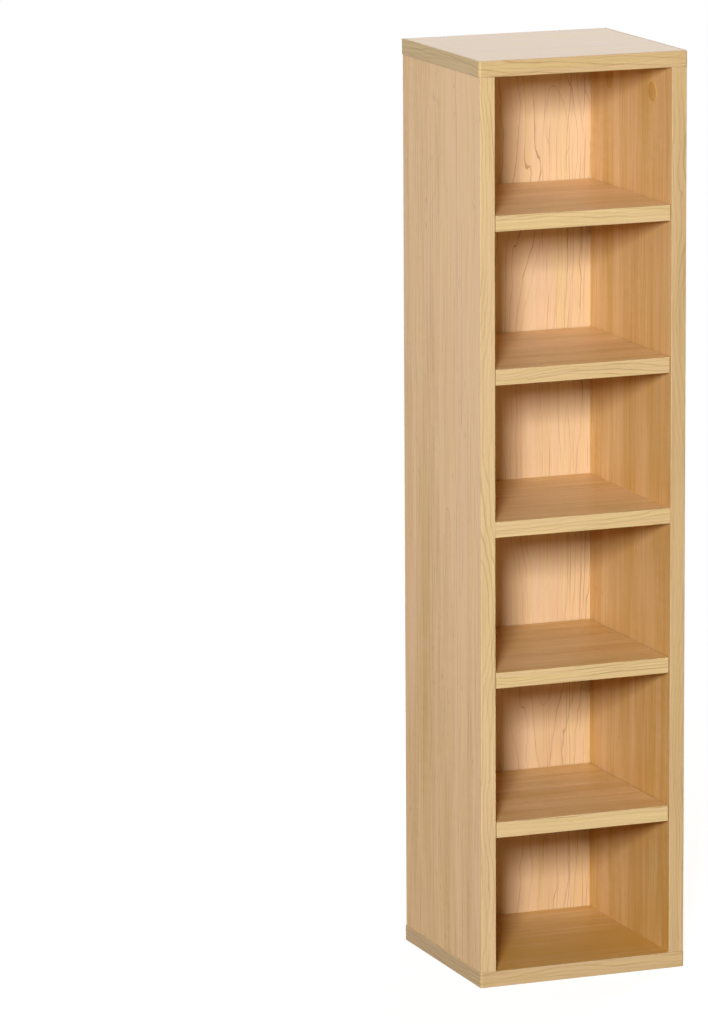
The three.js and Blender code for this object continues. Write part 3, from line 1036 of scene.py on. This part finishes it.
def nail():
    """A nail: a thin shank and a low domed head, sunk just below the face."""
    size = bpy.context.scene.tower.board
    head, reach = size.nail_head, size.nail_length
    return turned([(0.0, -reach), (0.0006, -reach + 0.0014), (0.0006, -0.0007),
                   (head * 0.9, -0.0006), (head, -0.0004), (head * 0.93, -0.0002),
                   (head * 0.6, -0.0001), (0.0, -0.00007)], 20)


def nail_hole():
    """A cutter for a nail's hole, with the dish that its head presses."""
    head = bpy.context.scene.tower.board.nail_head
    return turned([(0.0, -0.0045), (0.00065, -0.0045), (0.00065, -0.0007),
                   (head + 0.0001, -0.0007), (head + 0.0002, -0.00025),
                   (head + 0.0005, 0.0002), (0.0, 0.0002)], 24)


class TOWER_OT_shelves(bpy.types.Operator):
    """Builds the fixed shelf, the loose shelves and their bands"""
    bl_idname = "tower.shelves"
    bl_label = "Shelves"

    def execute(self, context):
        shelves = [("fixed_shelf", "middle_shelf", "carcass")]
        shelves += [(f"removable_shelf_{i}", f"loose_shelf_{i}", f"removable_shelf_{i}")
                    for i in LOOSE_SHELVES]
        for number, (node, name, body) in enumerate(shelves):
            # Lower shelves are printed deeper, as painted shade that deepens downwards
            height = middle_of(node).z / middle_of("top_panel").z
            joints = [shelf_joint(corner) for corner in CORNERS] if body == "carcass" else []
            cutters = [holes(joints, cam_hole), holes(joints, bolt_bore)] if joints else []
            add_board(f"{name}_board", node, body, 2, 0, PRINTS["shelf"] + PRINT_STEP * number,
                      shelf_painted_shade(0.30 - 0.68 * height), facing(), *cutters)
            add_band(f"{name}_band", f"{node}_edge_band", body, 0,
                     PRINTS["shelf_band"] + PRINT_STEP * number, -0.2)
        return {"FINISHED"}


# ---------------------------------------------------------------- pins, cams, caps and screws

def pin_mesh():
    """A shelf pin: a grooved peg, a half collar against the wall and a half-round tongue."""
    size = bpy.context.scene.tower.fitting
    radius, peg = size.pin_radius, size.pin_peg
    outline = [(0.0, -peg), (radius * 0.8, -peg), (radius, -peg + 0.0006)]
    for i in range(4):
        groove = -peg + 0.0014 + 0.0014 * i
        outline += [(radius, groove), (radius * 0.93, groove + 0.00018),
                    (radius * 0.93, groove + 0.00042), (radius, groove + 0.0006)]
    collar_start, collar_end, tip = 0.0003, 0.0013, 0.009
    outline += [(radius, collar_start), (size.pin_collar, collar_start),
                (size.pin_collar, collar_end), (radius, collar_end), (radius, tip - 0.0022),
                (radius * 0.9, tip - 0.0009), (radius * 0.62, tip - 0.0002), (0.0, tip)]
    mesh = to_mesh(lying(turned(outline, size.round_steps)), "shelf_pin")
    above = block(Vector((0.0, -0.005, 0.0)), Vector((0.01, 0.005, 0.005)))
    return eased(cut(mesh, [above], wall_finish=0), size.ease)


def cam_mesh():
    """A cam lock: a drum with a pocket and a slot for the bolt, a cross recess and an arrow."""
    size = bpy.context.scene.tower.fitting
    radius, half = size.cam_radius, board_half()
    back, face = size.cam_floor + 0.0003 - half, half - 0.0003
    ceiling = face - 0.003
    outline = [(0.0, back), (radius * 0.94, back), (radius * 0.94, ceiling - 0.001),
               (radius, ceiling - 0.0002), (radius, face - 0.0004), (radius * 0.96, face),
               (radius * 0.88, face), (radius * 0.85, face - 0.0003), (0.0, face - 0.0003)]
    mesh = to_mesh(turned(outline, size.round_steps), "cam_lock")
    below, pocket_radius, slot_half = back - size.hole_past, 0.0044, 0.0021
    pocket = rod(pocket_radius, below, ceiling, HOLE_STEPS)
    slot = block(Vector((-radius - size.hole_past, -slot_half, below)),
                 Vector((0.0, slot_half, ceiling)))
    recess = cross_recess(0.004, 0.0007, face + 0.0004, face - 0.0018)
    arrow = bmesh.new()
    ends = [[arrow.verts.new((x, y, z)) for x, y in
             ((-0.0058, 0.0), (-0.0047, -0.0009), (-0.0047, 0.0009))]
            for z in (face - 0.0006, face + 0.0004)]
    for end in ends:
        arrow.faces.new(end)
    for i in range(3):
        j = (i + 1) % 3
        arrow.faces.new((ends[0][i], ends[0][j], ends[1][j], ends[1][i]))
    bmesh.ops.recalc_face_normals(arrow, faces=arrow.faces)
    return eased(cut(mesh, [pocket], [slot], [recess, arrow], wall_finish=0), size.ease)


def bolt_mesh():
    """A cam bolt: a coarse thread, a collar, a shank and a ball-like head on a thin neck."""
    size = bpy.context.scene.tower.fitting
    crest = size.bolt_radius
    core = crest - size.thread_depth
    start, end = -0.011, 0.0
    rows = round((end - start) / size.thread_pitch * 10)
    outline = [(0.0, start), (core * 0.7, start)]
    outline += [(core * min(1.0, 0.72 + 0.28 * i / 8), start + (end - start) * i / rows)
                for i in range(1, rows)]
    outline += [(core, 0.0003), (0.0033, 0.0003), (0.0036, 0.0006), (0.0036, 0.0020),
                (0.0033, 0.0023), (0.0025, 0.0023), (0.0025, 0.0202), (0.0022, 0.0205),
                (0.0016, 0.0205), (0.0016, 0.0265), (0.0026, 0.0265), (0.0032, 0.0271),
                (0.0032, 0.0286), (0.0027, 0.0293), (0.0014, 0.0295), (0.0, 0.0295)]
    swell = thread(start, end, size.thread_pitch, size.thread_depth)
    return to_mesh(lying(turned(outline, size.round_steps, swell)), "cam_bolt")


def cap_mesh(corner, place):
    """A cover cap: a thin round plate, a little domed, with the print of the wall it sits on."""
    node = f"cam_cover_cap_{corner}"
    low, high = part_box(node)
    radius, thick = (high.z - low.z) / 2, high.x - low.x
    dome = ((1.0, 0.0), (1.0, 0.12), (0.985, 0.3), (0.95, 0.52), (0.88, 0.73), (0.76, 0.89),
            (0.55, 0.97), (0.3, 1.0), (0.0, 1.0))
    outline = [(0.0, 0.0)] + [(radius * out, thick * up) for out, up in dome]
    mesh = to_mesh(turned(outline, 64), "cover_cap")
    wall_print = PRINTS["side"] + (1 if corner.startswith("left") else PRINT_STEP)

    def rule(normal, spot):
        on_wall = place @ spot
        return on_wall.y, on_wall.z, wall_print
    lay_grain(mesh, rule, even_shade(0.45), wear_and_highlight=0.0)
    return mesh


def screw_mesh():
    """A countersunk screw with a cross recess and a deep thread."""
    size = bpy.context.scene.tower.fitting
    crest = size.screw_shank
    core = crest - size.thread_depth
    start, end = 0.014, 0.05
    rows = round((end - start) / size.thread_pitch * 10)
    outline = [(0.0, 0.0003), (size.screw_head - 0.0003, 0.0003), (size.screw_head, 0.0006),
               (core + 0.0004, 0.0034), (core, 0.0042), (core, start)]
    for i in range(1, rows):
        height = start + (end - start) * i / rows
        outline.append((core * min(1.0, 0.05 + (end - height) / 0.006), height))
    outline.append((0.0, end))
    swell = thread(start, end, size.thread_pitch, size.thread_depth)
    mesh = to_mesh(turned(outline, size.round_steps, swell), "base_screw")
    recess = cross_recess(0.0023, 0.00055, -0.0002, 0.0019)
    return cut(mesh, [recess], wall_finish=0)


class TOWER_OT_shelf_pins(bpy.types.Operator):
    """Sets the pins that carry the loose shelves"""
    bl_idname = "tower.shelf_pins"
    bl_label = "Shelf Pins"

    def execute(self, context):
        for shelf in LOOSE_SHELVES:
            for corner in CORNERS:
                add_piece(f"pin_{shelf}_{corner}", pin_mesh(), "carcass",
                          [f"shelf_pin_{shelf}_{corner}"], [steel()], pin_seat(shelf, corner))
        return {"FINISHED"}


class TOWER_OT_cam_fittings(bpy.types.Operator):
    """Sets the cam locks, their bolts and the cover caps"""
    bl_idname = "tower.cam_fittings"
    bl_label = "Cam Fittings and Caps"

    def execute(self, context):
        size = context.scene.tower.fitting
        to_cam = Matrix.Translation((size.cam_reach, 0.0, 0.0))
        to_cap = Matrix.Translation((size.cam_reach, 0.0, board_half()))
        for corner in CORNERS:
            for level, joint in (("top", top_joint(corner)), ("shelf", shelf_joint(corner))):
                add_piece(f"{level}_cam_{corner}", cam_mesh(), "carcass",
                          [f"{level}_cam_lock_{corner}"], [zinc()], joint @ to_cam)
                add_piece(f"{level}_bolt_{corner}", bolt_mesh(), "carcass",
                          [f"{level}_cam_bolt_{corner}"], [steel()], joint)
            place = top_joint(corner) @ to_cap
            add_piece(f"cap_{corner}", cap_mesh(corner, place), "carcass",
                      [f"cam_cover_cap_{corner}"], [facing()], place)
        return {"FINISHED"}


class TOWER_OT_base_screws(bpy.types.Operator):
    """Drives the screws up through the bottom panel"""
    bl_idname = "tower.base_screws"
    bl_label = "Base Screws"

    def execute(self, context):
        for corner in CORNERS:
            add_piece(f"screw_{corner}", screw_mesh(), "carcass",
                      [f"base_screw_{corner}"], [steel()], screw_seat(corner))
        return {"FINISHED"}


# ---------------------------------------------------------------- the stage

class TOWER_OT_stage(bpy.types.Operator):
    """Lays the floor and sets the light and the camera"""
    bl_idname = "tower.stage"
    bl_label = "Stage"

    def execute(self, context):
        studio = context.scene.tower.studio
        context.scene.view_settings.view_transform = "Standard"
        self.floor(context, studio)
        self.surroundings(context, studio)
        for name in ("key", "rear", "overhead"):
            self.softbox(context, studio, name)
        self.camera(context, studio)
        return {"FINISHED"}

    def seen(self, r, mirrored=1.0):
        """One where the camera, a mirror or a glass looks, and nought for other light."""
        path = r.node("ShaderNodeLightPath").outputs
        glossy = r.times(path["Is Glossy Ray"], mirrored)
        seen = r.math("MAXIMUM", path["Is Camera Ray"], glossy)
        return r.math("MAXIMUM", seen, path["Is Transmission Ray"])

    def floor(self, context, studio):
        shape = bmesh.new()
        bmesh.ops.create_circle(shape, cap_ends=True, radius=60.0, segments=64)
        floor_piece = bpy.data.objects.new("floor", to_mesh(shape, "floor"))
        floor_piece.location.z = -0.0003
        context.scene.collection.objects.link(floor_piece)
        finish = bpy.data.materials.new("white_floor")
        finish.use_nodes = True
        finish.node_tree.nodes.clear()
        r = Recipe(finish.node_tree)
        place = r.node("ShaderNodeNewGeometry").outputs["Position"]
        distance = r.node("ShaderNodeVectorMath", {0: place}, operation="LENGTH").outputs["Value"]
        plain = r.node("ShaderNodeBsdfDiffuse", {"Color": rgba(studio.floor_bounce)})
        ahead = r.parts(place)[1]
        mirrored = r.times(r.remap(distance, 0.0, 3.5, 0.6, 1.0),
                          r.remap(ahead, -1.0, -0.2))
        near = r.node("ShaderNodeAddShader", {
            0: r.node("ShaderNodeBsdfDiffuse", {"Color": rgba(studio.floor_tint)}).outputs[0],
            1: r.node("ShaderNodeEmission", {"Strength": studio.floor_glow}).outputs[0],
        })
        far = r.node("ShaderNodeEmission", {"Strength": 1.0})
        pale = r.node("ShaderNodeMixShader", {
            0: r.remap(distance, 0.5, 1.5), 1: near.outputs[0], 2: far.outputs[0],
        })
        whole = r.node("ShaderNodeMixShader", {
            0: self.seen(r, mirrored), 1: plain.outputs[0], 2: pale.outputs[0],
        })
        r.node("ShaderNodeOutputMaterial", {"Surface": whole.outputs[0]})
        floor_piece.data.materials.append(finish)

    def surroundings(self, context, studio):
        world = bpy.data.worlds.new("white_studio")
        world.use_nodes = True
        world.node_tree.nodes.clear()
        r = Recipe(world.node_tree)
        fill = r.node("ShaderNodeBackground", {
            "Color": rgba(studio.fill_tint), "Strength": studio.fill,
        })
        white = r.node("ShaderNodeBackground", {"Color": (1.0, 1.0, 1.0, 1.0), "Strength": 1.0})
        heading = r.parts(r.node("ShaderNodeTexCoord").outputs["Generated"])
        backdrop = r.remap(heading[1], -0.5, 0.0)
        both = r.node("ShaderNodeMixShader", {
            0: self.seen(r, backdrop), 1: fill.outputs[0], 2: white.outputs[0],
        })
        r.node("ShaderNodeOutputWorld", {"Surface": both.outputs[0]})
        context.scene.world = world

    def softbox(self, context, studio, name):
        lamp = bpy.data.lights.new(f"{name}_softbox", "AREA")
        lamp.shape = "RECTANGLE"
        lamp.size = getattr(studio, f"{name}_width")
        lamp.size_y = getattr(studio, f"{name}_height")
        lamp.energy = getattr(studio, f"{name}_power")
        softbox = bpy.data.objects.new(lamp.name, lamp)
        context.scene.collection.objects.link(softbox)
        low, high = cad_box
        softbox.location = getattr(studio, f"{name}_place")
        aim = (low + high) / 2 - softbox.location
        softbox.rotation_euler = aim.to_track_quat("-Z", "Y").to_euler()

    def camera(self, context, studio):
        data = bpy.data.cameras.new("camera")
        data.lens = studio.lens
        data.sensor_width = 36.0
        data.clip_end = 200.0
        camera = bpy.data.objects.new("camera", data)
        context.scene.collection.objects.link(camera)
        yaw, pitch, roll = studio.camera_turn
        camera.matrix_world = (
            Matrix.Translation(studio.camera_place) @ Matrix.Rotation(-yaw, 4, "Z")
            @ Matrix.Rotation(pi / 2 - pitch, 4, "X") @ Matrix.Rotation(-roll, 4, "Z")
        )
        context.scene.camera = camera


# ---------------------------------------------------------------- the add-on

BUILDERS = (
    TOWER_OT_stage,
    TOWER_OT_side_panels,
    TOWER_OT_end_panels,
    TOWER_OT_back_board,
    TOWER_OT_shelves,
    TOWER_OT_shelf_pins,
    TOWER_OT_cam_fittings,
    TOWER_OT_base_screws,
)


class TOWER_PT_sidebar(bpy.types.Panel):
    """Lists the steps and the settings of the tower"""
    bl_idname = "TOWER_PT_sidebar"
    bl_label = "Disc Storage Tower"
    bl_space_type = "VIEW_3D"
    bl_region_type = "UI"
    bl_category = "Tower"

    def draw(self, context):
        column = self.layout.column(align=True)
        for builder in BUILDERS:
            column.operator(builder.bl_idname)
        settings = context.scene.tower
        for group in ("board", "fitting", "maple", "hidden", "studio"):
            values = getattr(settings, group)
            box = self.layout.box()
            for name in values.__annotations__:
                box.prop(values, name)


CLASSES = (BoardShape, FittingShape, MapleFinish, HiddenFinish, StudioSetup, TowerSettings,
           *BUILDERS, TOWER_PT_sidebar)


def register():
    for each in CLASSES:
        bpy.utils.register_class(each)
    bpy.types.Scene.tower = PointerProperty(type=TowerSettings)


def unregister():
    del bpy.types.Scene.tower
    for each in reversed(CLASSES):
        bpy.utils.unregister_class(each)


def main():
    register()
    bpy.ops.tower.stage()
    bpy.ops.tower.side_panels()
    bpy.ops.tower.end_panels()
    bpy.ops.tower.back_board()
    bpy.ops.tower.shelves()
    bpy.ops.tower.shelf_pins()
    bpy.ops.tower.cam_fittings()
    bpy.ops.tower.base_screws()


if __name__ == "__main__":
    main()
